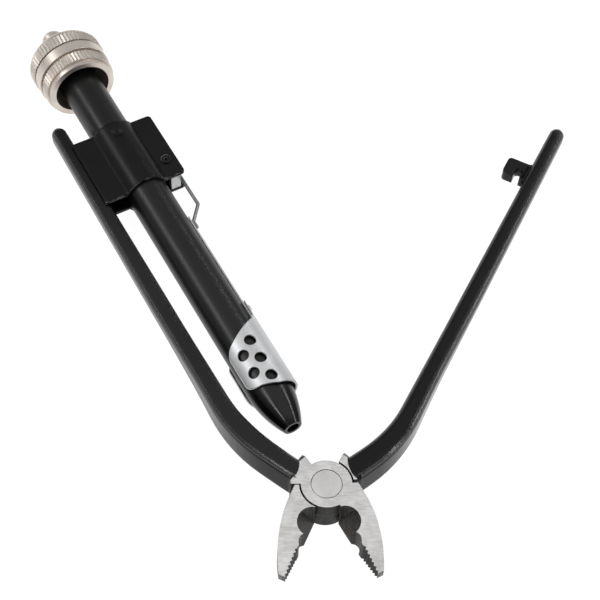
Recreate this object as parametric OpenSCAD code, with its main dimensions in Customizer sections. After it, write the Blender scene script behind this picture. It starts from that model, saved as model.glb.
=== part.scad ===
// Safety-wire twisting pliers: two forged halves on a rivet, a pull-knob twist drive in a
// tube beside the left handle, and a sliding lock that holds the handles shut.
// Millimetres. The pivot stands on the Z axis, Z = 0 is the back face of the head, and the
// twist tube and the left handle run along +Y. The pliers are drawn open, against their stop.

/* [Head] */
// Thickness of the head
head_t = 12; // [10:0.5:16]
// Diameter of the round boss round the pivot
boss_d = 14.6; // [13:0.1:16]
// Diameter of the pivot rivet
rivet_d = 8.7; // [6:0.1:10]
// Edge chamfer of the rivet and of its hole
rivet_chamfer = 0.1; // [0.05:0.05:0.5]
// Radial room round a boss, in the other half
boss_gap = 0.5; // [0.3:0.1:1]
// Swing of the handles from open to shut
open_angle = 52.1; // [45:0.1:53]
// Play between the open stops
stop_play = 1.6; // [0.5:0.1:4]
// Reach of the ground faces behind the boss, from the pivot
shoulder_r = 10.35; // [10:0.05:12]
// Reach of the peak beside each handle's root, from the pivot
peak_r = 11.8; // [10.8:0.1:13]

/* [Jaws] */
// Length of a jaw from the pivot
jaw_len = 28.6; // [26:0.1:34]
// Half width of the shut jaws at the head
jaw_half_w = 8.1; // [7.8:0.1:10]
// Half width of the shut jaws at the tip
jaw_tip_w = 2.2; // [1.5:0.1:4]
// Thickness of a jaw at its tip
jaw_tip_t = 3.3; // [3:0.1:9]
// Distance from the pivot at which the jaws start to narrow
jaw_taper_y = 7.5; // [6:0.5:10]
// Gap from the closing line to each bite face when shut
bite_gap = 0.12; // [0.05:0.01:0.3]
// Radius of the hollow over the cutting edge
relief_r = 4.25; // [3:0.05:4.5]
// Distance of that hollow's centre from the pivot
relief_y = 12.1; // [11.5:0.1:13]
// Height of the land under the cutting edge
cutter_land = 0.6; // [0.3:0.1:1.5]
// Radius of the pipe grip
grip_r = 2.2; // [1.5:0.1:3]
// Distance of the pipe grip's centre from the pivot
grip_y = 17.5; // [17:0.1:18.5]
// Number of teeth on a jaw
tooth_count = 7; // [4:1:7]
// Pitch of the teeth
tooth_pitch = 1.15; // [0.8:0.01:1.2]
// Depth of the teeth
tooth_depth = 0.55; // [0.3:0.05:0.8]

/* [Handles] */
// Length of a handle from the pivot
handle_len = 158.2; // [150:0.2:168]
// Distance of the left handle's straight run from the pivot
left_handle_x = 13.8; // [13:0.05:15]
// Distance of the right handle's straight run from the pivot
right_handle_x = 11.2; // [10.8:0.05:12]
// Lean of the left handle from the closing line
left_lean = 0.15; // [0:0.05:0.5]
// Lean of the right handle from the closing line
right_lean = 3.65; // [3.4:0.05:4]
// Width of the straight handle
handle_w = 6; // [5:0.1:6.4]
// Width of the handle at its tip
tip_w = 5; // [4.5:0.1:6]
// Thickness of the straight handle
handle_t = 6.2; // [5:0.1:8]
// Half width of the left handle's root on the inner side
left_root_in = 2; // [1.6:0.1:3.2]
// Half width of the right handle's root on the inner side
right_root_in = 3.2; // [1.6:0.1:3.6]
// Half width of each handle's root on the outer side
root_out = 4.2; // [3.5:0.1:5.2]
// Height by which the coated handle stands over each ground face of the head
root_step = 0.25; // [0.1:0.05:0.6]
// Angle between the handle's root and its straight run
root_angle = 26; // [22:0.5:30]
// Radius of the bend between them
bend_r = 46; // [30:1:50]
// Distance from the pivot at which the handle reaches its plain thickness
taper_y = 80; // [60:1:100]
// Edge radius of the handle
handle_round = 1.8; // [1:0.1:2.2]

/* [Twist tube] */
// Distance of the tube's axis from the pivot's, to the right
tube_x = 2; // [0:0.1:3]
// Outside diameter of the tube
tube_d = 13.7; // [13:0.1:14.5]
// Wall of the tube
tube_wall = 1.2; // [0.8:0.1:1.6]
// Distance of the nose's end from the pivot
nose_y = 22.7; // [21:0.1:25]
// Outside diameter of the nose's end
nose_d = 5.8; // [5:0.1:8]
// Length of the nose's taper
nose_len = 16.3; // [12:0.1:18]
// Length of the guide bush in the tube's top end
bush_len = 6; // [4:0.5:10]

/* [Bracket] */
// Distance of the bracket's lower edge from the pivot
bracket_y = 120.5; // [118:0.1:122]
// Length of the bracket along the tube
bracket_len = 27; // [24:0.1:32]
// Thickness of each bracket sheet
sheet_t = 1; // [0.8:0.1:1.4]
// Lap of a sheet on the handle
sheet_lap = 1.9; // [1:0.1:3]
// Reach of the bracket's open side past the tube
flange_w = 6.85; // [6.4:0.05:7]
// Radius of the dimple that stakes the tube
dimple_r = 2.3; // [1.5:0.1:3]

/* [Twist drive] */
// Travel of the knob
stroke = 60; // [40:1:62]
// Advance of the spiral rod per turn
lead = 24; // [18:1:40]
// Distance across the corners of the spiral rod
rod_d = 6.4; // [5:0.1:6.6]
// Play between the spiral rod and what it runs through
rod_play = 0.3; // [0.2:0.05:0.4]
// Diameter of the rod's plain ends
shank_d = 4.2; // [3.4:0.1:4.4]
// Length of the drive nut
nut_len = 8; // [6:0.5:9]
// Diameter of the pin that holds the drive nut
nut_pin_d = 2.5; // [2:0.1:3]
// Distance of the lower spring seat from the pivot
seat_y = 46; // [44:0.5:52]
// Thickness of the washers at the spring's ends
washer_t = 1.4; // [1:0.1:2]
// Wire of the return spring
spring_wire = 0.9; // [0.7:0.1:1]
// Mean diameter of the return spring
spring_d = 8.9; // [8.6:0.1:9.4]
// Number of coils of the return spring
spring_coils = 24; // [16:1:26]

/* [Knob] */
// Distance of the knob's rim from the pivot
knob_y = 172.2; // [170:0.1:180]
// Widest diameter of the knob
knob_d = 26.4; // [25.8:0.1:28]
// Diameter of the knob's rim
rim_d = 23.2; // [22.4:0.1:24]
// Inside diameter of the knob's bell
bell_d = 19.4; // [17:0.1:20]
// Depth of the knob's bell
bell_depth = 15.3; // [14:0.1:16]
// Height of the smooth band at the rim
rim_band = 1.4; // [1:0.1:3]
// Height of each knurled band
knurl_band = 4; // [3.6:0.1:5]
// Height of the smooth band between the knurls
plain_band = 3.9; // [3.5:0.1:5]
// Width of the grooves between the bands
groove_w = 0.5; // [0.3:0.1:0.8]
// Number of knurl ridges
knurl_count = 64; // [40:1:90]
// Depth of the knurl
knurl_depth = 0.35; // [0.2:0.05:0.6]
// Height of the rounded top over the upper knurl
dome_h = 3; // [2.5:0.1:4]
// Diameter of the cap nut
cap_d = 7.8; // [6.6:0.1:9]
// Height of the cap nut
cap_h = 10.7; // [9:0.1:12]

/* [Lock] */
// Travel of the lock
lock_travel = 4.2; // [3.6:0.1:4.6]
// Distance of the sleeve's front end from the pivot
sleeve_y = 34.4; // [32:0.1:36]
// Thickness of the sleeve's sheet
sleeve_t = 0.6; // [0.5:0.05:0.8]
// Length of the sleeve's spine
spine_len = 24.6; // [22:0.2:28]
// Length of the sleeve's lobes
lobe_len = 16.7; // [15:0.1:18]
// Diameter of the sleeve's holes
hole_d = 3.7; // [2.5:0.1:4]
// Pitch of the sleeve's holes along the tube
hole_pitch = 6.7; // [5:0.1:7]
// Thickness of the link strip, which runs between the sleeve and the tube
strip_t = 0.5; // [0.4:0.05:0.7]
// Width of the link strip
strip_w = 4.8; // [4:0.1:5.4]
// Distance of the link strip's top end from the pivot
strip_top = 104.5; // [98:0.5:106]
// Diameter of the link wire
wire_d = 1.2; // [0.9:0.05:1.25]
// Diameter of the lock pin
lock_pin_d = 2; // [1.6:0.1:2.2]
// Reach of the lock hook from the handle
hook_reach = 7.55; // [7.2:0.05:7.8]
// Length of the lock hook along the handle
hook_len = 6.9; // [6.4:0.1:8]
// Thickness of the lock hook
hook_t = 4; // [3:0.1:5]
// Width of the hook's notch
notch_w = 2.2; // [2:0.05:2.4]
// Depth of the hook's notch
notch_depth = 3.8; // [3.7:0.1:4.4]
// Width of the leg between the notch and the handle
notch_leg = 1.4; // [1.2:0.05:1.5]
// Play round the lock's moving pieces
lock_play = 0.3; // [0.2:0.05:0.4]

/* [Hidden] */
$fn = 96;

black = "#1c1c1e";
bright = "#c9c9c6";
zinc = "#d3d7da";
nickel = "#cfc6b8";
spring_steel = "#8f9296";
bronze = "#a9843f";
rubber = "#2b2b2b";

eps = 0.01;
mid_z = head_t / 2;
boss_r = boss_d / 2;
rivet_r = rivet_d / 2;
run_fit = 0.05;
lap_play = 0.1;
shut_turn = left_lean + right_lean;
right_turn = -(open_angle + shut_turn);
tube_r = tube_d / 2;
bore_r = tube_r - tube_wall;

// Points at radius r and angle a
function polar(r, a) = [r * cos(a), r * sin(a)];
// Eased step from 0 to 1
function ease(t) = let (c = min(max(t, 0), 1)) c * c * (3 - 2 * c);

// Turns a shape drawn along Z so that it runs along the tube
module along_tube() translate([tube_x, 0, mid_z]) rotate([-90, 0, 0]) children();
// A ring along Z
module ring(r_out, r_in, h) {
    difference() {
        cylinder(r = r_out, h = h);
        translate([0, 0, -1]) cylinder(r = r_in, h = h + 2);
    }
}

// Lever halves

// Angles of the open stops, of the jaws' shoulders that meet them, and of the peaks
left_stop = 152;
right_stop = 143;
left_edge = -25.4;
right_edge = 180 - left_stop - stop_play + right_turn;
left_peak = 96;
right_peak = 90;
// Distances of the roots' ends from the pivot
left_root = 9.95;
right_root = 9.05;
// What differs between the halves, in this order
BOSS_UP = 0;
LEAN = 1;
RUN_X = 2;
ROOT_FROM = 3;
STOP = 4;
EDGE = 5;
PEAK = 6;
ROOT_IN = 7;
left_half = [
    true, left_lean, left_handle_x, left_root, left_stop, left_edge, left_peak, left_root_in
];
right_half = [
    false, right_lean, right_handle_x, right_root, right_stop, right_edge, right_peak, right_root_in
];

// Handle, as stations along its centre line:
// [x, y, heading, inner half width, outer half width, half thickness]
root_t = head_t + 2 * root_step;
root_y = 9;
flare_in = 20;
flare_out = 45;
tip_round = tip_w / 2;
root_steps = 3;
bend_steps = 8;
straight_steps = 7;
tip_steps = 4;
function part_of(y, from, to) = min(max((y - from) / (to - from), 0), 1);
function run_w(y) = handle_w + (tip_w - handle_w) * part_of(y, taper_y, handle_len);
function flared(y, root, flare) = run_w(y) / 2 + (root - run_w(y) / 2) * (1 - ease((y - root_y) / flare));
function half_t(y) = handle_t / 2 + (root_t - handle_t) / 2 * (1 - ease(part_of(y, root_y, taper_y)));
function station(x, y, heading, root_in) =
    [x, y, heading, flared(y, root_in, flare_in), flared(y, root_out, flare_out), half_t(y)];
function tip_station(x, i) =
    let (a = 90 * i / tip_steps, s = max(cos(a), 0.12))
    [
        x, handle_len - tip_round * (1 - sin(a)), 0,
        tip_w / 2 * s, tip_w / 2 * s, handle_t / 2 * (0.55 + 0.45 * s)
    ];
function handle_stations(run_x, root_from, root_in) =
    let (
        bend_y = run_x / tan(root_angle),
        bend_run = bend_r * tan(root_angle / 2),
        root_to = norm([run_x, bend_y]) - bend_run,
        straight_y = bend_y + bend_run
    )
    concat(
        [for (i = [0:root_steps - 1])
            let (r = root_from + (root_to - root_from) * i / root_steps)
            station(-r * sin(root_angle), r * cos(root_angle), root_angle, root_in)],
        [for (i = [0:bend_steps])
            let (a = root_angle * (1 - i / bend_steps))
            station(-run_x + bend_r * (1 - cos(a)), straight_y - bend_r * sin(a), a, root_in)],
        [for (i = [1:straight_steps])
            station(-run_x, straight_y + (taper_y - straight_y) * i / straight_steps, 0, root_in)],
        [for (i = [0:tip_steps]) tip_station(-run_x, i)]
    );

// Rounded rectangle from -left to right, and half height h
corner_steps = 4;
ring_n = 4 * (corner_steps + 1);
function rounded_ring(left, right, h) =
    let (r = min(handle_round, 0.45 * (left + right), 0.9 * h))
    [for (q = [0:3], i = [0:corner_steps])
        let (a = 90 * q + 90 * i / corner_steps)
        [(q == 0 || q == 3 ? right - r : r - left) + r * cos(a), (q < 2 ? 1 : -1) * (h - r) + r * sin(a)]];

// The root's end bulges towards the pivot and is cut askew
root_bulge = 1;
root_skew = 1;
function root_back(t) = root_bulge * (1 - t * t) - root_skew * t;
function handle_ring(s, is_root) =
    [for (p = rounded_ring(s[4], s[3], s[5]))
        let (back = is_root ? root_back((2 * p[0] + s[4] - s[3]) / (s[3] + s[4])) : 0)
        [s[0] + p[0] * cos(s[2]) + back * sin(s[2]), s[1] + p[0] * sin(s[2]) - back * cos(s[2]), p[1]]];

module handle_blank(run_x, root_from, root_in) {
    stations = handle_stations(run_x, root_from, root_in);
    n = len(stations);
    rings = [for (i = [0:n - 1]) handle_ring(stations[i], i == 0)];
    first = stations[0];
    last = stations[n - 1];
    points = concat(
        [for (r = rings) each r],
        [
            [first[0] + root_bulge * sin(first[2]), first[1] - root_bulge * cos(first[2]), 0],
            [last[0], last[1], 0]
        ]
    );
    root_centre = n * ring_n;
    tip_centre = root_centre + 1;
    sides = [for (i = [0:n - 2], j = [0:ring_n - 1])
        let (a = i * ring_n + j, b = i * ring_n + (j + 1) % ring_n)
        each [[a, b, a + ring_n], [b, b + ring_n, a + ring_n]]];
    root_cap = [for (j = [0:ring_n - 1]) [(j + 1) % ring_n, j, root_centre]];
    tip_cap = [for (j = [0:ring_n - 1])
        [(n - 1) * ring_n + j, (n - 1) * ring_n + (j + 1) % ring_n, tip_centre]];
    polyhedron(points, concat(sides, root_cap, tip_cap));
}

// Outline of one jaw, with the closing line on the Y axis and its shoulder face at the angle edge
jaw_drop = jaw_len - jaw_taper_y;
jaw_in = jaw_half_w - jaw_tip_w;
jaw_curve_r = (jaw_in * jaw_in + jaw_drop * jaw_drop) / (2 * jaw_in);
module jaw_outline(edge) {
    intersection() {
        union() {
            translate([0, -jaw_taper_y]) square([jaw_half_w, jaw_taper_y]);
            intersection() {
                translate([jaw_half_w - jaw_curve_r, -jaw_taper_y]) circle(r = jaw_curve_r, $fn = 200);
                translate([0, -jaw_len]) square([jaw_half_w, jaw_drop]);
            }
        }
        polygon([
            [bite_gap, bite_gap * tan(edge)], [bite_gap, -2 * jaw_len],
            [2 * jaw_len, -2 * jaw_len], polar(3 * jaw_len, edge)
        ]);
    }
}
// Grooves between the teeth, from the tip up
module tooth_grooves() {
    for (i = [0:tooth_count - 1])
        translate([bite_gap - eps, -jaw_len + (i + 0.5) * tooth_pitch])
            polygon([[0, -tooth_pitch / 2], [tooth_depth, 0], [0, tooth_pitch / 2]]);
}
// Side profile that thins the jaw towards its tip
thin = (head_t - jaw_tip_t) / 2;
jaw_face_r = (thin * thin + jaw_drop * jaw_drop) / (2 * thin);
module jaw_profile() {
    translate([-jaw_taper_y, -mid_z]) square([2 * jaw_taper_y, head_t]);
    intersection() {
        translate([-jaw_len, -mid_z]) square([jaw_drop + eps, head_t]);
        translate([-jaw_taper_y, mid_z - jaw_face_r]) circle(r = jaw_face_r, $fn = 400);
        translate([-jaw_taper_y, jaw_face_r - mid_z]) circle(r = jaw_face_r, $fn = 400);
    }
}
// Hollow in the front face: round in plan, its steep floor falling to the cutting edge at the back
relief_x = 0.7;
module jaw_relief() {
    reach = relief_r - relief_x;
    intersection() {
        translate([-relief_x, -relief_y, -head_t]) cylinder(r = relief_r, h = 2 * head_t);
        rotate([90, 0, 0]) linear_extrude(jaw_len)
            polygon([
                [bite_gap, cutter_land - mid_z], [reach, mid_z], [reach, head_t],
                [-jaw_len, head_t], [-jaw_len, cutter_land - mid_z]
            ]);
    }
}
// Pipe grip: a round groove through the jaw, a little askew
grip_x = 1.2;
grip_tilt = [4, -2.5, 0];
module jaw(edge) {
    difference() {
        intersection() {
            linear_extrude(head_t, center = true) difference() {
                jaw_outline(edge);
                tooth_grooves();
            }
            rotate([90, 0, 90]) linear_extrude(2 * jaw_half_w) jaw_profile();
        }
        jaw_relief();
        translate([-grip_x, -grip_y, 0]) rotate(grip_tilt)
            cylinder(r = grip_r, h = 2 * head_t, center = true);
    }
}

// Shoulder behind the boss, which carries the handle and the open stop; its rim falls away past
// the ground faces
rim_drop = 1.4;
module shoulder(stop, peak) {
    intersection() {
        linear_extrude(head_t, center = true)
            polygon([
                [0, 0], polar(peak_r, peak), polar(shoulder_r + 0.6, 90 + root_angle),
                polar(shoulder_r, stop - 8), polar(shoulder_r - 0.2, stop)
            ]);
        rotate_extrude() polygon([
            [0, -mid_z], [shoulder_r, -mid_z], [peak_r, rim_drop - mid_z],
            [peak_r, mid_z - rim_drop], [shoulder_r, mid_z], [0, mid_z]
        ]);
    }
}

// One forged half, drawn with its handle on the left and Z = 0 in the middle of the head
module half(h) {
    flip = h[BOSS_UP] ? 0 : 1;
    difference() {
        union() {
            difference() {
                union() {
                    handle_blank(h[RUN_X], h[ROOT_FROM], h[ROOT_IN]);
                    shoulder(h[STOP], h[PEAK]);
                    rotate([0, 0, -h[LEAN]]) jaw(h[EDGE] + h[LEAN]);
                }
                mirror([0, 0, flip]) translate([0, 0, -head_t])
                    cylinder(r = boss_r + boss_gap, h = head_t + lap_play / 2);
                cylinder(r = (boss_r + rivet_r) / 2, h = 2 * head_t, center = true);
            }
            mirror([0, 0, flip]) translate([0, 0, lap_play / 2])
                cylinder(r = boss_r, h = mid_z - lap_play / 2);
        }
        translate([0, 0, -head_t]) cylinder(r = rivet_r + run_fit, h = 2 * head_t);
        mirror([0, 0, flip]) translate([0, 0, mid_z - rivet_chamfer])
            cylinder(
                r1 = rivet_r + run_fit, r2 = rivet_r + run_fit + 2 * rivet_chamfer,
                h = 2 * rivet_chamfer
            );
    }
}
module left_lever() {
    color(bright) translate([0, 0, mid_z]) half(left_half);
}
// Places what is drawn on the left handle on the right one, swung open
module on_right() {
    translate([0, 0, mid_z]) rotate([0, 0, right_turn]) mirror([1, 0, 0]) children();
}
module right_lever() {
    color(bright) on_right() half(right_half);
}
module pivot_rivet() {
    color(bright) {
        translate([0, 0, rivet_chamfer]) cylinder(r = rivet_r, h = head_t - 2 * rivet_chamfer);
        cylinder(r1 = rivet_r - rivet_chamfer, r2 = rivet_r, h = rivet_chamfer);
        translate([0, 0, head_t - rivet_chamfer])
            cylinder(r1 = rivet_r, r2 = rivet_r - rivet_chamfer, h = rivet_chamfer);
    }
}

// Bracket: two sheets that clasp the tube and the handle, and leave a channel on the right

gap_half = handle_t / 2;
bulge_r = tube_r + run_fit;
bracket_left = -(left_handle_x - handle_w / 2) - sheet_lap;
bracket_right = tube_x + tube_r + flange_w;
lock_pin_at = [tube_x + tube_r + 0.49 * flange_w, bracket_y + 0.267 * bracket_len];
nut_pin_y = bracket_y + 0.82 * bracket_len;
module sheet_section() {
    difference() {
        union() {
            translate([bracket_left - tube_x, gap_half]) square([bracket_right - bracket_left, sheet_t]);
            intersection() {
                circle(r = bulge_r + sheet_t);
                translate([-tube_d, gap_half]) square([2 * tube_d, tube_d]);
            }
        }
        circle(r = bulge_r);
    }
}
sheet_round = 1.2;
// Outline of a sheet seen from above, with round corners on its open side
module sheet_outline() {
    round_x = bracket_right - sheet_round;
    bracket_to = bracket_y + bracket_len;
    translate([bracket_left, bracket_y]) square([round_x - bracket_left, bracket_len]);
    translate([round_x - eps, bracket_y + sheet_round])
        square([sheet_round + eps, bracket_len - 2 * sheet_round]);
    for (y = [bracket_y + sheet_round, bracket_to - sheet_round])
        translate([round_x, y]) circle(r = sheet_round);
}
module bracket_sheet() {
    difference() {
        intersection() {
            translate([tube_x, bracket_y + bracket_len, 0]) rotate([90, 0, 0])
                linear_extrude(bracket_len) sheet_section();
            linear_extrude(tube_d) sheet_outline();
        }
        translate([lock_pin_at[0], lock_pin_at[1], 0])
            cylinder(d = lock_pin_d + 2 * run_fit, h = tube_d);
    }
}
dimple_floor = bulge_r + 0.35 * sheet_t;
module bracket_top() {
    color(black) translate([0, 0, mid_z]) difference() {
        bracket_sheet();
        translate([tube_x, nut_pin_y, 0]) rotate_extrude() polygon([
            [0, dimple_floor], [dimple_r / 2, dimple_floor], [dimple_r, bulge_r + sheet_t],
            [dimple_r, tube_d], [0, tube_d]
        ]);
    }
}
module bracket_bottom() {
    color(black) translate([0, 0, mid_z]) mirror([0, 0, 1]) bracket_sheet();
}

// Twist tube

buffer_y = knob_y + bell_depth - washer_t;
tube_top = buffer_y - lock_play;
// The nose is rounded by one arc that runs out into the tube
nose_in = tube_r - nose_d / 2;
nose_curve_r = (nose_in * nose_in + nose_len * nose_len) / (2 * nose_in);
nose_hole_r = nose_d / 2 - 0.75 * tube_wall;
nose_to = nose_y + nose_len;
module tube_section() {
    difference() {
        union() {
            translate([0, nose_to]) square([tube_r, tube_top - nose_to]);
            intersection() {
                translate([0, nose_y]) square([tube_r, nose_len + eps]);
                translate([tube_r - nose_curve_r, nose_to]) circle(r = nose_curve_r, $fn = 400);
            }
        }
        translate([0, nose_y - 1]) square([nose_hole_r, tube_top]);
        polygon([
            [0, nose_y + 2.5 * tube_wall], [nose_hole_r, nose_y + 2.5 * tube_wall],
            [bore_r, nose_to + tube_wall], [bore_r, tube_top + 1], [0, tube_top + 1]
        ]);
    }
}
module twist_tube() {
    color(black) difference() {
        along_tube() rotate_extrude() tube_section();
        translate([tube_x, nut_pin_y, mid_z]) cylinder(d = nut_pin_d + 2 * run_fit, h = tube_d);
    }
}
module guide_bush() {
    color(bronze) translate([0, tube_top - bush_len, 0]) along_tube()
        ring(bore_r - run_fit, rod_d / 2 + rod_play, bush_len);
}

// Twist drive

nut_y = nut_pin_y - nut_len / 2;
twist_from = seat_y + washer_t + 2.6;
twist_to = buffer_y - 4;
// A square bar with cut corners, twisted about Z
module spiral_bar(from, to, grow) {
    corner = rod_d / 2 + grow;
    side = rod_d / 2 * cos(45) + grow;
    half_face = sqrt(corner * corner - side * side) * 0.82;
    turns = (to - from) / lead;
    translate([0, 0, from]) rotate([0, 0, 360 * from / lead])
        linear_extrude(to - from, twist = -360 * turns, slices = ceil(turns * 28), $fn = 8)
            polygon([for (q = [0:3], s = [-1, 1])
                let (c = cos(90 * q), n = sin(90 * q))
                [side * c - s * half_face * n, side * n + s * half_face * c]]);
}
nut_pin_from = rod_d / 2 + rod_play + 0.7;
nut_pin_to = sqrt(tube_r * tube_r - nut_pin_d * nut_pin_d / 4) - run_fit;
module drive_nut() {
    color(bronze) difference() {
        along_tube() difference() {
            translate([0, 0, nut_y]) cylinder(r = bore_r - run_fit, h = nut_len);
            spiral_bar(nut_y - 2, nut_y + nut_len + 2, rod_play);
        }
        translate([tube_x, nut_pin_y, mid_z + nut_pin_from - run_fit])
            cylinder(d = nut_pin_d + 2 * run_fit, h = tube_d);
    }
}
module nut_pin() {
    color(black) translate([tube_x, nut_pin_y, mid_z + nut_pin_from])
        cylinder(d = nut_pin_d, h = nut_pin_to - nut_pin_from);
}
module spring_washer() {
    color(spring_steel) translate([0, nut_y - washer_t, 0]) along_tube()
        ring(bore_r - lock_play, rod_d / 2 + rod_play, washer_t);
}
module thrust_washer() {
    color(spring_steel) translate([0, seat_y, 0]) along_tube()
        ring(bore_r - lock_play, shank_d / 2 + run_fit, washer_t);
}
clip_t = 0.9;
clip_neck_d = shank_d - 0.9;
rod_from = seat_y - clip_t - 1.6;
module rod_clip() {
    color(spring_steel) translate([0, seat_y - clip_t, 0]) along_tube() difference() {
        ring(shank_d / 2 + 1.9, clip_neck_d / 2 + run_fit, clip_t);
        translate([0, -clip_neck_d / 2, -1]) cube([shank_d * 2, clip_neck_d, clip_t + 2]);
    }
}
knob_top = knob_y + rim_band + 2 * knurl_band + plain_band + 3 * groove_w + dome_h;
module spiral_rod() {
    color(spring_steel) along_tube() {
        difference() {
            translate([0, 0, rod_from]) cylinder(d = shank_d, h = twist_from - rod_from + 1);
            translate([0, 0, seat_y - clip_t]) ring(shank_d, clip_neck_d / 2, clip_t);
        }
        spiral_bar(twist_from, twist_to, 0);
        translate([0, 0, twist_to - 1]) cylinder(d = shank_d, h = knob_top + cap_h / 2 - twist_to + 1);
    }
}

// Return spring: one tube along a helix, with closed end coils
spring_from = seat_y + washer_t + spring_wire / 2 + 0.05;
spring_to = nut_y - washer_t - spring_wire / 2 - 0.05;
rings_per_coil = 8;
wire_sides = 6;
end_coils = 1.25;
coil_total = spring_coils * rings_per_coil;
end_rise = end_coils * (spring_wire + 0.45);
mid_rise = spring_to - spring_from - 2 * end_rise;
function spring_height(t) =
    t < end_coils ? t / end_coils * end_rise
    : t > spring_coils - end_coils
    ? end_rise + mid_rise + (t - spring_coils + end_coils) / end_coils * end_rise
    : end_rise + mid_rise * (t - end_coils) / (spring_coils - 2 * end_coils);
function spring_point(t) = concat(polar(spring_d / 2, 360 * t), spring_from + spring_height(t));
function spring_ring(t) =
    let (
        p = spring_point(t),
        out = [cos(360 * t), sin(360 * t), 0],
        ahead = spring_point(t + 0.01) - spring_point(t - 0.01),
        side = cross(ahead / norm(ahead), out)
    )
    [for (k = [0:wire_sides - 1])
        p + spring_wire / 2 * (cos(360 * k / wire_sides) * out + sin(360 * k / wire_sides) * side)];
// Least clear distance between neighbouring coils, measured on points
spring_gap = min([for (i = [0:coil_total - rings_per_coil], j = [-1:1])
    norm(spring_point(i / rings_per_coil) - spring_point((i + rings_per_coil + j) / rings_per_coil))])
    - spring_wire;
echo(spring_gap = spring_gap);
module return_spring() {
    points = [for (i = [0:coil_total]) each spring_ring(i / rings_per_coil)];
    sides = [for (i = [0:coil_total - 1], k = [0:wire_sides - 1])
        let (a = i * wire_sides + k, b = i * wire_sides + (k + 1) % wire_sides)
        each [[a, a + wire_sides, b], [b, a + wire_sides, b + wire_sides]]];
    ends = concat(
        [for (k = [1:wire_sides - 2]) [0, k, k + 1]],
        [for (k = [1:wire_sides - 2]) coil_total * wire_sides * [1, 1, 1] + [0, k + 1, k]]
    );
    color(spring_steel) along_tube() polyhedron(points, concat(sides, ends));
}

// Knob

band_y = [
    knob_y + rim_band + groove_w,
    knob_y + rim_band + knurl_band + 2 * groove_w,
    knob_y + rim_band + knurl_band + plain_band + 3 * groove_w
];
knob_r = knob_d / 2;
lower_r = knob_r - 0.75;
plain_r = knob_r - 0.35;
module knurled_band(r) {
    linear_extrude(knurl_band) polygon([for (i = [0:2 * knurl_count - 1])
        polar(r - (i % 2) * knurl_depth, 180 * i / knurl_count)]);
}
// Section of the rounded top, over a core that carries the bands
module knob_core() {
    core_r = rim_d / 2 - groove_w / 2;
    dome_y = band_y[2] + knurl_band;
    round_x = knob_r - 1.5 * knurl_depth - dome_h;
    translate([0, knob_y]) square([rim_d / 2, rim_band]);
    translate([0, knob_y + rim_band - eps]) square([core_r, dome_y - knob_y - rim_band + 2 * eps]);
    translate([0, dome_y]) square([round_x, dome_h]);
    intersection() {
        translate([round_x, dome_y]) circle(r = dome_h);
        translate([0, dome_y]) square([knob_r, dome_h]);
    }
}
module pull_knob() {
    color(nickel) along_tube() difference() {
        union() {
            rotate_extrude() knob_core();
            translate([0, 0, band_y[0]]) knurled_band(lower_r);
            translate([0, 0, band_y[1]]) cylinder(r = plain_r, h = plain_band);
            translate([0, 0, band_y[2]]) knurled_band(knob_r);
        }
        translate([0, 0, knob_y - 1]) cylinder(d = bell_d, h = bell_depth + 1);
        translate([0, 0, knob_y + bell_depth - 1]) cylinder(d = shank_d + 2 * run_fit, h = knob_d);
    }
}
module buffer_washer() {
    color(rubber) translate([0, buffer_y, 0]) along_tube()
        ring(tube_r + 0.6, shank_d / 2 + run_fit, washer_t);
}
// Cap nut: a round post on a cone foot, under a top of a little larger radius
cap_r = cap_d / 2;
cap_top_r = 1.06 * cap_r;
cap_foot = 1.3;
module cap_section() {
    top_y = cap_h - cap_top_r;
    union() {
        square([cap_r, top_y + eps]);
        intersection() {
            translate([0, top_y]) square([cap_r, cap_top_r]);
            translate([0, top_y]) circle(r = cap_top_r);
        }
        polygon([[0, 0], [cap_r + cap_foot, 0], [cap_r - cap_foot / 4, 1.5 * cap_foot], [0, 1.5 * cap_foot]]);
    }
}
module cap_nut() {
    color(nickel) along_tube() difference() {
        translate([0, 0, knob_top]) rotate_extrude() cap_section();
        translate([0, 0, knob_top - 1]) cylinder(d = shank_d + 2 * run_fit, h = cap_h / 2 + 1 + run_fit);
    }
}

// Lock

// The strip is bent round the tube and lies under the sleeve
strip_play = 0.1;
strip_in = tube_r + strip_play;
strip_out = strip_in + strip_t;
sleeve_in = strip_out + 0.03;
sleeve_out = sleeve_in + sleeve_t;
lobe_from = sleeve_y + 0.11 * lobe_len;
lobe_left = 0.84 * sleeve_out;
lobe_round = 0.2 * lobe_len;
spine_x = 0.7 * sleeve_out;
tongue_top = sleeve_y + 1.33 * spine_len;
tongue_x = sqrt(sleeve_in * sleeve_in - strip_w * strip_w / 4);
// Columns of holes: [angle from the front, number, distance of the first one from the sleeve's end]
hole_columns = [[5.4, 3, 0.49 * hole_pitch], [-25.4, 2, 0.97 * hole_pitch]];
// What rounds a corner of a lobe, between two angles round the centre of its curve
corner_lap = 0.05;
module corner_bite(centre, from, to) {
    reach = 3 * lobe_round;
    translate(centre) difference() {
        polygon([[0, 0], polar(reach, from), polar(reach, (from + to) / 2), polar(reach, to)]);
        circle(r = lobe_round - corner_lap);
    }
}
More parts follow.
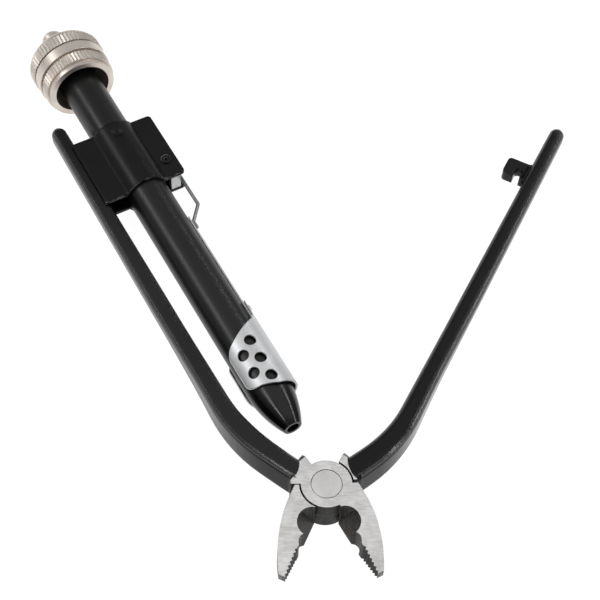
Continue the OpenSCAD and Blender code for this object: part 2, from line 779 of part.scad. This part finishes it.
// Outline of the sleeve seen from above, with the tube's axis at X = 0
module sleeve_outline() {
    right = sleeve_out + 1;
    lobe_x = lobe_round - lobe_left;
    low_y = lobe_from + lobe_round;
    high_y = lobe_from + lobe_len - lobe_round;
    spine_to = sleeve_y + spine_len;
    tongue_from = spine_to + 0.1 * spine_len;
    front_y = 2 * sleeve_y - lobe_from;
    to_spine = [spine_x - lobe_x, spine_to - high_y];
    slope = atan2(to_spine[1], to_spine[0]) - asin(lobe_round / norm(to_spine));
    difference() {
        polygon([
            [right, front_y], [lobe_round - lobe_x, front_y], [lobe_x, lobe_from],
            [-lobe_left, lobe_from], [-lobe_left, spine_to - (spine_x + lobe_left) * tan(slope)],
            [spine_x, spine_to], [tongue_x, tongue_from],
            [tongue_x, tongue_top + 1], [right, tongue_top + 1]
        ]);
        corner_bite([lobe_x, low_y], 180, 270);
        corner_bite([lobe_x, high_y], 90 + slope, 180);
    }
}
module lock_sleeve() {
    color(zinc) difference() {
        intersection() {
            translate([0, sleeve_y, 0]) along_tube() ring(sleeve_out, sleeve_in, tongue_top - sleeve_y);
            translate([tube_x, 0, mid_z - tube_d]) linear_extrude(2 * tube_d) sleeve_outline();
        }
        for (column = hole_columns, i = [0:column[1] - 1], side = [0, 1])
            translate([tube_x, sleeve_y + column[2] + i * hole_pitch, mid_z])
                mirror([0, 0, side]) rotate([0, column[0], 0]) cylinder(d = hole_d, h = tube_d);
        translate([tube_x, strip_rivet_y, mid_z]) rotate([0, 90, 0])
            cylinder(d = strip_rivet_d + 2 * run_fit, h = tube_d);
    }
}
strip_from = sleeve_y + spine_len / 2;
strip_rivet_d = 1.6;
strip_rivet_y = tongue_top - strip_rivet_d;
module link_strip() {
    color(zinc) difference() {
        intersection() {
            translate([0, strip_from, 0]) along_tube() ring(strip_out, strip_in, strip_top - strip_from);
            translate([tube_x, strip_from - 1, mid_z - strip_w / 2])
                cube([tube_d, strip_top - strip_from + 2, strip_w]);
        }
        translate([tube_x, strip_rivet_y, mid_z]) rotate([0, 90, 0])
            cylinder(d = strip_rivet_d + 2 * run_fit, h = tube_d);
    }
}
module strip_rivet() {
    head_h = 0.5;
    color(zinc) translate([tube_x, strip_rivet_y, mid_z]) rotate([0, 90, 0]) {
        translate([0, 0, strip_in]) cylinder(d = strip_rivet_d, h = sleeve_out - strip_in + eps);
        translate([0, 0, sleeve_out])
            cylinder(d1 = strip_rivet_d * 1.9, d2 = strip_rivet_d * 1.3, h = head_h);
    }
}

// The wire's end lines up with the hook's notch when the handles are shut
hook_y = lock_pin_at[1] + 2.15 * lock_pin_d;
right_in_x = right_handle_x - handle_w / 2;
notch_x = right_in_x - notch_leg - notch_w / 2;
wire_x = notch_x * cos(shut_turn) + (hook_y + notch_depth / 2) * sin(shut_turn);
wire_tip = hook_y * cos(shut_turn) - notch_x * sin(shut_turn) - 2.5 * lock_play;
// Bolt: a block that slides in the bracket's channel, under the lock pin and beside the wire
bolt_left = lock_pin_at[0] - lock_pin_d / 2 - 0.6;
bolt_right = wire_x - wire_d / 2 - 0.02;
bolt_t = handle_t - 2 * lock_play;
bolt_to = lock_pin_at[1] - lock_pin_d / 2 - lock_travel - lock_play;
bolt_len = 1.6;
module lock_bolt() {
    color(zinc) translate([bolt_left, bolt_to - bolt_len, mid_z - bolt_t / 2])
        cube([bolt_right - bolt_left, bolt_len, bolt_t]);
}
// Wire: along the strip, out over a jog, and up past the bolt
weld_len = 2.5;
weld_end = 0.9;
jog_len = 5.6;
weld_x = tube_x + strip_out + wire_d / 2 + 0.02;
weld_to = strip_top - weld_end;
wire_route = [
    [weld_x, weld_to - weld_len], [weld_x, weld_to],
    [wire_x, weld_to + jog_len], [wire_x, wire_tip - wire_d / 2]
];
module link_wire() {
    color(zinc) for (i = [0:2]) hull() {
        translate([wire_route[i][0], wire_route[i][1], mid_z]) sphere(d = wire_d, $fn = 16);
        translate([wire_route[i + 1][0], wire_route[i + 1][1], mid_z]) sphere(d = wire_d, $fn = 16);
    }
}
module lock_pin() {
    pin_head = 0.5;
    half_h = gap_half + sheet_t;
    color(black) translate([lock_pin_at[0], lock_pin_at[1], mid_z]) difference() {
        union() {
            translate([0, 0, -half_h]) cylinder(d = lock_pin_d, h = 2 * half_h);
            for (side = [0, 1]) mirror([0, 0, side]) translate([0, 0, half_h])
                cylinder(d = 1.7 * lock_pin_d, h = pin_head);
        }
        translate([0, 0, half_h - 1]) cylinder(d = 0.55 * lock_pin_d, h = 3);
    }
}
// Hook: a plate on the right handle, round at its free end, with a nib that hangs past the notch
hook_round = 1.3;
module lock_hook() {
    end_x = hook_reach - right_in_x;
    round_x = end_x - hook_round;
    color(black) on_right() linear_extrude(hook_t, center = true) difference() {
        union() {
            translate([-right_in_x, hook_y]) square([round_x + right_in_x, hook_len]);
            translate([round_x - eps, hook_y + hook_round])
                square([hook_round + eps, hook_len - 2 * hook_round]);
            for (y = [hook_round, hook_len - hook_round])
                translate([round_x, hook_y + y]) circle(r = hook_round);
        }
        translate([-notch_x - notch_w / 2, hook_y - 1])
            square([notch_w, notch_depth - notch_w / 2 + 1]);
        translate([-notch_x, hook_y + notch_depth - notch_w / 2]) circle(d = notch_w);
    }
}

left_lever();
right_lever();
pivot_rivet();
bracket_top();
bracket_bottom();
twist_tube();
guide_bush();
drive_nut();
nut_pin();
spring_washer();
return_spring();
thrust_washer();
rod_clip();
spiral_rod();
buffer_washer();
pull_knob();
cap_nut();
lock_sleeve();
link_strip();
strip_rivet();
link_wire();
lock_bolt();
lock_pin();
lock_hook();
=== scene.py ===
import bpy, math
from mathutils import Matrix, Vector


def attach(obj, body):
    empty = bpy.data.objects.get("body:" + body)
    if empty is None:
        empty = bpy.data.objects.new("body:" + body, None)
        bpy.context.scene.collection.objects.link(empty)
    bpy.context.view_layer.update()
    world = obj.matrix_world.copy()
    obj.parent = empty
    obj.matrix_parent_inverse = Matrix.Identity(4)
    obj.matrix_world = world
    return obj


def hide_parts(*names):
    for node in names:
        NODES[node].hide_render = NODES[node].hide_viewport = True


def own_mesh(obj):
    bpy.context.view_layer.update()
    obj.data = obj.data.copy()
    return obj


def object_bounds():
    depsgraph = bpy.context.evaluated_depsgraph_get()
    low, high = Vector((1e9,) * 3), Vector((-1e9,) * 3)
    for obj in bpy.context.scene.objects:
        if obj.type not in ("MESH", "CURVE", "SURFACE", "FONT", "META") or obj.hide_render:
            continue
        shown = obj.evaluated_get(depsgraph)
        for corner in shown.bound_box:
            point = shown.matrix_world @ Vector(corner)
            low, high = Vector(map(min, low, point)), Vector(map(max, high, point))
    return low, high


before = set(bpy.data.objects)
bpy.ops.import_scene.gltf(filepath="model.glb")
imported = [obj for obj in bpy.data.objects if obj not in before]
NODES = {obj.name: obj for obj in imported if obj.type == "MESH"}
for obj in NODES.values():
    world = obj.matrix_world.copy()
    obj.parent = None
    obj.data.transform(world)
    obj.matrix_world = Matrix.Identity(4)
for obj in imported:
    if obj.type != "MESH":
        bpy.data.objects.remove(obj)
CAD_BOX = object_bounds()
MM = 0.001
RIGHT_TURN = math.radians(55.9)  # right handle against the left one, at rest


def smooth(obj, degrees):
    """Rounds the shading across edges flatter than the given angle."""
    mesh = obj.data
    mesh.polygons.foreach_set("use_smooth", [True] * len(mesh.polygons))
    mesh.set_sharp_from_angle(angle=math.radians(degrees))


# Materials

class Graph:
    """A material's node tree, with short calls for the nodes that are used here."""

    NOISE_ROUGH = 0.55

    def __init__(self, name):
        self.mat = bpy.data.materials.new(name)
        self.mat.use_nodes = True
        self.tree = self.mat.node_tree
        self.bsdf = self.tree.nodes["Principled BSDF"]

    def node(self, kind, **values):
        n = self.tree.nodes.new(kind)
        for k, v in values.items():
            setattr(n, k, v)
        return n

    def put(self, socket, value):
        if isinstance(value, bpy.types.NodeSocket):
            self.tree.links.new(value, socket)
        else:
            socket.default_value = value

    def math(self, op, a, b=0.0, c=0.0):
        n = self.node("ShaderNodeMath", operation=op)
        for s, v in zip(n.inputs, (a, b, c)):
            self.put(s, v)
        return n.outputs[0]

    def times(self, a, b):
        return self.math("MULTIPLY", a, b)

    def inverse(self, a):
        return self.math("SUBTRACT", 1.0, a)

    def vmath(self, op, a, b):
        n = self.node("ShaderNodeVectorMath", operation=op)
        self.put(n.inputs[0], a)
        self.put(n.inputs[1], b)
        return n.outputs["Value" if op == "DOT_PRODUCT" else "Vector"]

    def ramp(self, x, low, high):
        """0 at low and 1 at high, with a soft step between."""
        n = self.node("ShaderNodeMapRange", interpolation_type="SMOOTHSTEP")
        for s, v in zip(("Value", "From Min", "From Max"), (x, low, high)):
            self.put(n.inputs[s], v)
        return n.outputs["Result"]

    def mix(self, f, a, b):
        n = self.node("ShaderNodeMix", data_type="RGBA")
        self.put(n.inputs["Factor"], f)
        self.put(n.inputs[6], a)
        self.put(n.inputs[7], b)
        return n.outputs[2]

    def mixf(self, f, a, b):
        n = self.node("ShaderNodeMix", data_type="FLOAT")
        self.put(n.inputs["Factor"], f)
        self.put(n.inputs[2], a)
        self.put(n.inputs[3], b)
        return n.outputs[0]

    def coords(self, kind="Object"):
        return self.node("ShaderNodeTexCoord").outputs[kind]

    def turned(self, vector, turn):
        n = self.node("ShaderNodeMapping")
        self.put(n.inputs["Vector"], vector)
        n.inputs["Rotation"].default_value = (0, 0, turn)
        return n.outputs["Vector"]

    def noise(self, vector, scale, detail):
        n = self.node("ShaderNodeTexNoise")
        self.put(n.inputs["Vector"], vector)
        n.inputs["Scale"].default_value = scale
        n.inputs["Detail"].default_value = detail
        n.inputs["Roughness"].default_value = self.NOISE_ROUGH
        return n.outputs["Fac"]

    def lines(self, vector, scales, detail):
        """Noise with its own scale along each axis, as brushing and drawing leave it."""
        return self.noise(self.vmath("MULTIPLY", vector, scales), 1.0, detail)

    def parts(self, vector):
        n = self.node("ShaderNodeSeparateXYZ")
        self.put(n.inputs[0], vector)
        return n.outputs

    def edge(self, radius):
        """Normals as if the edges were rounded by that radius."""
        n = self.node("ShaderNodeBevel", samples=4)
        self.put(n.inputs["Radius"], radius)
        return n.outputs["Normal"]

    def edge_mask(self, radius, low, high):
        """1 on edges, where rounding by that radius would turn the normal."""
        true = self.node("ShaderNodeNewGeometry").outputs["Normal"]
        turned = self.vmath("DOT_PRODUCT", self.edge(radius), true)
        return self.ramp(self.inverse(turned), low, high)

    def bump(self, height, strength, distance, normal):
        n = self.node("ShaderNodeBump")
        self.put(n.inputs["Height"], height)
        n.inputs["Strength"].default_value = strength
        n.inputs["Distance"].default_value = distance
        self.put(n.inputs["Normal"], normal)
        return n.outputs["Normal"]

    def finish(self, color, metallic, roughness, normal, shine=0.5):
        for name, v in (("Base Color", color), ("Metallic", metallic), ("Roughness", roughness),
                        ("Specular IOR Level", shine), ("Normal", normal)):
            self.put(self.bsdf.inputs[name], v)
        return self.mat


def grey(v, warm=0.0):
    return (v * (1 + warm), v, v * (1 - warm), 1)


NOSE_ROUGH = 0.16
NOSE_FADE = 14 * MM  # over which the gloss of the tube's nose fades into its satin
WEAR_AND_GLINT_R = 0.4 * MM
WEAR_AND_GLINT_FADE = 0.2 * MM


def black_metal(name, value, rough, grain, edge, wear_and_glint=0.0, wear_and_glint_to=None, nose_to=None,
                shine=0.22):
    """Black finish. The edges, below a given Y when one is given, get a lighter grey: partly bare
    metal where the paint rubs off, and partly a painted highlight of edges catching the light.
    Up to nose_to it is glossier."""
    g = Graph(name)
    p = g.coords()
    y = g.parts(p)[1]
    patch = g.noise(p, 60, 3)
    fine = g.noise(p, grain, 2)
    color = g.mix(g.ramp(patch, 0.3, 0.7), grey(value * 0.85), grey(value * 1.2))
    # Lighter grey painted on the edges: partly rubbed-off paint, partly a painted highlight
    # standing in for edges catching the light
    if wear_and_glint:
        rub_and_glint = g.times(g.edge_mask(WEAR_AND_GLINT_R, 0.02, 0.15), g.ramp(g.noise(p, 300, 3), 0.40, 0.60))
        if wear_and_glint_to is not None:
            rub_and_glint = g.times(rub_and_glint, g.inverse(g.ramp(y, wear_and_glint_to, wear_and_glint_to + WEAR_AND_GLINT_FADE)))
        color = g.mix(rub_and_glint, color, grey(wear_and_glint))
    roughness = g.mixf(patch, rough - 0.05, rough + 0.05)
    if nose_to is not None:
        roughness = g.mixf(g.ramp(y, nose_to - NOSE_FADE, nose_to), NOSE_ROUGH, roughness)
    return g.finish(color, 0.0, roughness, g.bump(fine, 0.12, 0.04 * MM, g.edge(edge)), shine)


def plated(name, low, high, rough, edge, grain=(900, 40, 900), metal=1.0):
    """Plated or bare metal: two tones in patches, with fine lines along Y."""
    g = Graph(name)
    p = g.coords()
    patch = g.noise(p, 140, 3)
    line = g.lines(p, grain, 2)
    color = g.mix(g.ramp(patch, 0.25, 0.75), low, high)
    roughness = g.mixf(line, rough - 0.06, rough + 0.06)
    return g.finish(color, metal, roughness, g.bump(line, 0.08, 0.02 * MM, g.edge(edge)))


ROOT_TURN = math.radians(26)  # lean of the handle's root against the tool's axis
ROOT_OUT = 4.2 * MM  # root's half on the outside
FACE_R = 10.35 * MM  # ground face round the pivot
BRUSH_TURN = math.radians(29)
BRUSH_LINES = (380, 2400, 600)
GROUND_LINES = (1500, 1500, 300)
LIP_FADE = 0.05  # mm
HEAD_EDGE, COAT_EDGE = 0.4 * MM, 1.6 * MM


def forging(name, right, root_from, root_in, flat_shine):
    """The lever's finish: black coat on the handle, ground faces on the head, dark forged sides.
    The coat starts root_from mm along the root, which reaches root_in to the inside."""
    g = Graph(name)
    p = g.coords()
    normal = g.coords("Normal")
    up = g.math("ABSOLUTE", g.parts(normal)[2])
    x, y = g.parts(g.turned(p, RIGHT_TURN) if right else p)[:2]
    out, front = g.parts(g.turned(normal, RIGHT_TURN) if right else normal)[:2]
    if right:
        x, out = g.times(x, -1.0), g.times(out, -1.0)

    # Where the coat is: past a curved lip on the root, and round the boss's rim
    root_sin, root_cos = math.sin(ROOT_TURN), math.cos(ROOT_TURN)
    along = g.math("ADD", g.times(x, -root_sin), g.times(y, root_cos))
    across = g.math("ADD", g.times(x, root_cos), g.times(y, root_sin))
    wide = root_in + ROOT_OUT
    t = g.math("MULTIPLY_ADD", across, 2 / wide, (ROOT_OUT - root_in) / wide)
    t = g.math("MINIMUM", g.math("MAXIMUM", t, -1.0), 1.0)
    bow = g.math("SUBTRACT", g.inverse(g.times(t, t)), t)
    lip = g.math("MULTIPLY_ADD", bow, MM, along)
    handle = g.ramp(lip, (root_from - LIP_FADE) * MM, (root_from + LIP_FADE) * MM)
    radius = g.math("SQRT", g.math("ADD", g.times(x, x), g.times(y, y)))
    past_face = g.ramp(radius, FACE_R, FACE_R + 0.1 * MM)
    coat = g.math("MAXIMUM", handle, g.times(past_face, g.ramp(along, 5 * MM, 6 * MM)))
    far = g.ramp(along, 15 * MM, 60 * MM)

    # The head's surfaces, told apart by which way they face
    face = g.ramp(up, 0.80, 0.90)
    hollow = g.ramp(up, 0.12, 0.25)
    tip = g.times(g.ramp(front, -0.75, -0.95), g.ramp(y, -20 * MM, -22 * MM))
    outer = g.math("MAXIMUM", g.ramp(out, 0.2, 0.5), tip)
    outer = g.times(outer, g.ramp(y, 2 * MM, -2 * MM))

    brush = g.lines(g.turned(p, BRUSH_TURN), BRUSH_LINES, 3)
    ground = g.lines(p, GROUND_LINES, 3)
    ground_tone = g.ramp(ground, 0.3, 0.7)
    patch = g.noise(p, 120, 4)
    cloud = g.times(g.ramp(g.noise(p, 320, 3), 0.3, 0.7), 0.45)
    steel = g.math("MULTIPLY_ADD", g.ramp(brush, 0.3, 0.7), 0.55, cloud)
    steel = g.mix(steel, grey(0.60, 0.012), grey(0.84, 0.008))
    forged = g.mix(ground_tone, grey(0.014, 0.06), grey(0.050, 0.05))
    brown = g.mix(ground_tone, grey(0.006, 0.20), grey(0.045, 0.16))
    ground_side = g.mix(ground_tone, grey(0.10, 0.01), grey(0.24, 0.01))
    side = g.mix(outer, g.mix(hollow, forged, brown), ground_side)
    head = g.mix(face, side, steel)
    color = g.mix(coat, head, g.mix(patch, grey(0.003), grey(0.005)))

    head_rough = g.mixf(face, g.mixf(ground, 0.38, 0.52), g.mixf(brush, 0.54, 0.66))
    coat_rough = g.mixf(far, g.mixf(patch, 0.12, 0.18), g.mixf(patch, 0.18, 0.24))
    rough = g.mixf(coat, head_rough, coat_rough)
    metal = g.times(g.inverse(coat), g.mixf(face, 0.4, 1.0))
    side_shine = g.mixf(far, 0.05, 0.4)
    edge_shine = g.mixf(g.ramp(up, 0.2, 0.6), side_shine, 1.0)
    shine = g.mixf(g.ramp(up, 0.93, 0.99), edge_shine, flat_shine)

    round_edge = g.edge(g.mixf(coat, HEAD_EDGE, COAT_EDGE))
    dip = g.bump(g.times(g.noise(p, 150, 2), coat), 0.08, 0.1 * MM, round_edge)
    fine = g.times(g.mixf(face, ground, brush), metal)
    return g.finish(color, metal, rough, g.bump(fine, 0.2, 0.03 * MM, dip), shine)


COAT_LEFT = forging("coated forging, left", False, root_from=9.95, root_in=2.0 * MM,
                    flat_shine=0.34)
COAT_RIGHT = forging("coated forging, right", True, root_from=9.05, root_in=3.2 * MM,
                     flat_shine=0.20)
TUBE = black_metal("tube black", 0.003, rough=0.36, grain=900, edge=0.3 * MM, nose_to=40 * MM,
                   shine=0.40)
SHEET = black_metal("sheet black", 0.004, rough=0.36, grain=1200, edge=1.2 * MM, wear_and_glint=0.5,
                    wear_and_glint_to=121.1 * MM)
PIN = black_metal("pin black", 0.004, rough=0.18, grain=600, edge=0.5 * MM, wear_and_glint=0.5)
HOOK = black_metal("hook black", 0.004, rough=0.18, grain=400, edge=1.2 * MM)
RUBBER = black_metal("buffer rubber", 0.02, rough=0.7, grain=1500, edge=0.2 * MM)
GROUND = plated("ground steel", grey(0.64, 0.01), grey(0.80, 0.01), rough=0.58, edge=0.1 * MM)
ZINC = plated("bright zinc", grey(0.62, -0.015), grey(0.72, -0.015), rough=0.46,
              edge=0.3 * MM, metal=0.65)
WIRE = plated("spring wire", grey(0.22, -0.01), grey(0.32, -0.01), rough=0.44, edge=0.1 * MM)
NICKEL = plated("nickel plate", (0.66, 0.60, 0.54, 1), (0.80, 0.73, 0.66, 1), rough=0.40,
                edge=0.2 * MM, grain=(700, 60, 700), metal=0.85)
STEEL = plated("drawn steel", grey(0.42), grey(0.55), rough=0.34, edge=0.1 * MM)
BRONZE = plated("bronze", (0.42, 0.28, 0.10, 1), (0.55, 0.38, 0.16, 1), rough=0.36,
                edge=0.1 * MM)

FINISH = {
    "left_lever": COAT_LEFT, "right_lever": COAT_RIGHT, "pivot_rivet": GROUND,
    "bracket_top": SHEET, "bracket_bottom": SHEET, "twist_tube": TUBE, "guide_bush": BRONZE,
    "drive_nut": BRONZE, "nut_pin": SHEET, "spring_washer": STEEL, "return_spring": STEEL,
    "thrust_washer": STEEL, "rod_clip": STEEL, "spiral_rod": STEEL, "buffer_washer": RUBBER,
    "pull_knob": NICKEL, "cap_nut": NICKEL, "lock_sleeve": ZINC, "link_strip": ZINC,
    "strip_rivet": ZINC, "link_wire": WIRE, "lock_bolt": ZINC, "lock_pin": PIN, "lock_hook": HOOK,
}
CAD_SMOOTH = 32  # degrees
for name, obj in NODES.items():
    obj.data.materials.clear()
    obj.data.materials.append(FINISH[name])
    smooth(obj, CAD_SMOOTH)

# The return spring shortens as the knob is pulled, so a copy of it stands for the CAD spring

coil = bpy.data.objects.new("pressed_spring", NODES["return_spring"].data.copy())
bpy.context.scene.collection.objects.link(coil)
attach(coil, "frame")
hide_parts("return_spring")
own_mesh(coil)

# Weld along the foot of the hook, on both of its faces: a section in mm, across the handle and up
# from the middle plane, drawn out along the right handle

MID_Z = 6.0
WELD_FROM, WELD_TO = 132.0, 138.9
WELD = ((7.4, 1.9), (8.6, 1.9), (8.85, 2.55), (8.62, 2.5), (8.2, 2.2), (7.8, 2.06), (7.4, 2.01))
WELD_SMOOTH = 50  # degrees


def on_right_handle(across, along, z):
    turn_cos, turn_sin = math.cos(RIGHT_TURN), math.sin(RIGHT_TURN)
    return Vector((across * turn_cos + along * turn_sin, along * turn_cos - across * turn_sin, z))


corners, faces = [], []
sides = len(WELD)
for flip in (1, -1):
    start = len(corners)
    for along in (WELD_FROM, WELD_TO):
        for across, rise in WELD:
            corners.append(on_right_handle(across, along, MID_Z + flip * rise) * MM)
    faces.append([start + i for i in range(sides)][::flip])
    faces.append([start + sides + i for i in range(sides)][::-flip])
    for i in range(sides):
        j = (i + 1) % sides
        faces.append([start + k for k in (i, sides + i, sides + j, j)][::flip])
weld_mesh = bpy.data.meshes.new("hook_weld")
weld_mesh.from_pydata(corners, [], faces)
weld_mesh.materials.append(HOOK)
weld = bpy.data.objects.new("hook_weld", weld_mesh)
bpy.context.scene.collection.objects.link(weld)
smooth(weld, WELD_SMOOTH)
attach(weld, "right_half")

# Camera, fitted to the photo

PHOTO_PX = 600
FOCAL_PX = 1365.6
SENSOR = 36
CAM_POS = Vector((-99.97, -137.56, 361.14)) * MM
CAM_LOOK = Vector((0.29515, 0.46631, -0.83393))
CAM_RIGHT = Vector((0.8725, -0.48727, 0.03633))

cam_data = bpy.data.cameras.new("camera")
cam = bpy.data.objects.new("camera", cam_data)
bpy.context.scene.collection.objects.link(cam)
look = CAM_LOOK.normalized()
right = (CAM_RIGHT - look * CAM_RIGHT.dot(look)).normalized()
up = right.cross(look)
cam.matrix_world = (Matrix.Translation(CAM_POS)
                    @ Matrix((right, up, -look)).transposed().to_4x4())
cam_data.sensor_width = SENSOR
cam_data.lens = FOCAL_PX / PHOTO_PX * SENSOR
cam_data.clip_start, cam_data.clip_end = 0.01, 20
bpy.context.scene.camera = cam

# Floor and light

FLOOR_SIZE = 60
FLOOR_GAP = 0.5 * MM
FLOOR_GLOW = 1.14
GLOW_SHARE = 0.85  # the rest is lit, and shows the shadow
WORLD_LIGHT = 0.25
AIM = Vector((0.035, 0.08, 0.0))


def white_floor():
    """White to the camera and in reflections, with a trace of the shadow; pale to the light."""
    g = Graph("pale floor")
    path = g.node("ShaderNodeLightPath").outputs
    seen = g.math("MAXIMUM", path["Is Camera Ray"], path["Is Glossy Ray"])
    seen = g.math("MAXIMUM", seen, path["Is Transmission Ray"])
    glow = g.node("ShaderNodeEmission")
    glow.inputs["Color"].default_value = (1, 1, 1, 1)
    glow.inputs["Strength"].default_value = FLOOR_GLOW
    grain = g.noise(g.coords(), 8, 2)
    g.put(g.bsdf.inputs["Base Color"], g.mix(grain, grey(0.80), grey(0.84)))
    g.bsdf.inputs["Roughness"].default_value = 0.9
    swap = g.node("ShaderNodeMixShader")
    g.put(swap.inputs[0], g.times(seen, GLOW_SHARE))
    g.put(swap.inputs[1], g.bsdf.outputs[0])
    g.put(swap.inputs[2], glow.outputs[0])
    g.put(g.tree.nodes["Material Output"].inputs["Surface"], swap.outputs[0])
    return g.mat


bpy.ops.mesh.primitive_plane_add(size=FLOOR_SIZE, location=(0.06, 0.09, CAD_BOX[0].z - FLOOR_GAP))
floor = bpy.context.object
floor.name = "floor"
floor.data.materials.append(white_floor())


def softbox(name, direction, distance, size, radiance):
    """A soft light of that brightness, in that direction from the tool and long along it."""
    data = bpy.data.lights.new(name, "AREA")
    data.shape = "RECTANGLE"
    data.size, data.size_y = size
    data.energy = radiance * math.pi * size[0] * size[1]
    obj = bpy.data.objects.new(name, data)
    bpy.context.scene.collection.objects.link(obj)
    z = Vector(direction).normalized()
    x = Vector((0, 1, 0)).cross(z).normalized()
    y = z.cross(x)
    turn = Matrix((x, y, z)).transposed().to_4x4()
    obj.matrix_world = Matrix.Translation(AIM + z * distance) @ turn


softbox("top", (0.05, 0.10, 0.98), distance=1.0, size=(1.3, 1.3), radiance=0.54)
softbox("left strip", (-0.69, 0.20, 0.69), distance=0.95, size=(0.075, 1.4), radiance=12.0)
softbox("right strip", (0.70, -0.20, 0.60), distance=0.95, size=(0.06, 1.9), radiance=12.0)

world = bpy.data.worlds.new("studio")
bpy.context.scene.world = world
world.use_nodes = True
sky = world.node_tree.nodes["Background"]
sky.inputs["Color"].default_value = (1, 1, 1, 1)
sky.inputs["Strength"].default_value = WORLD_LIGHT

bpy.context.scene.view_settings.view_transform = "Standard"
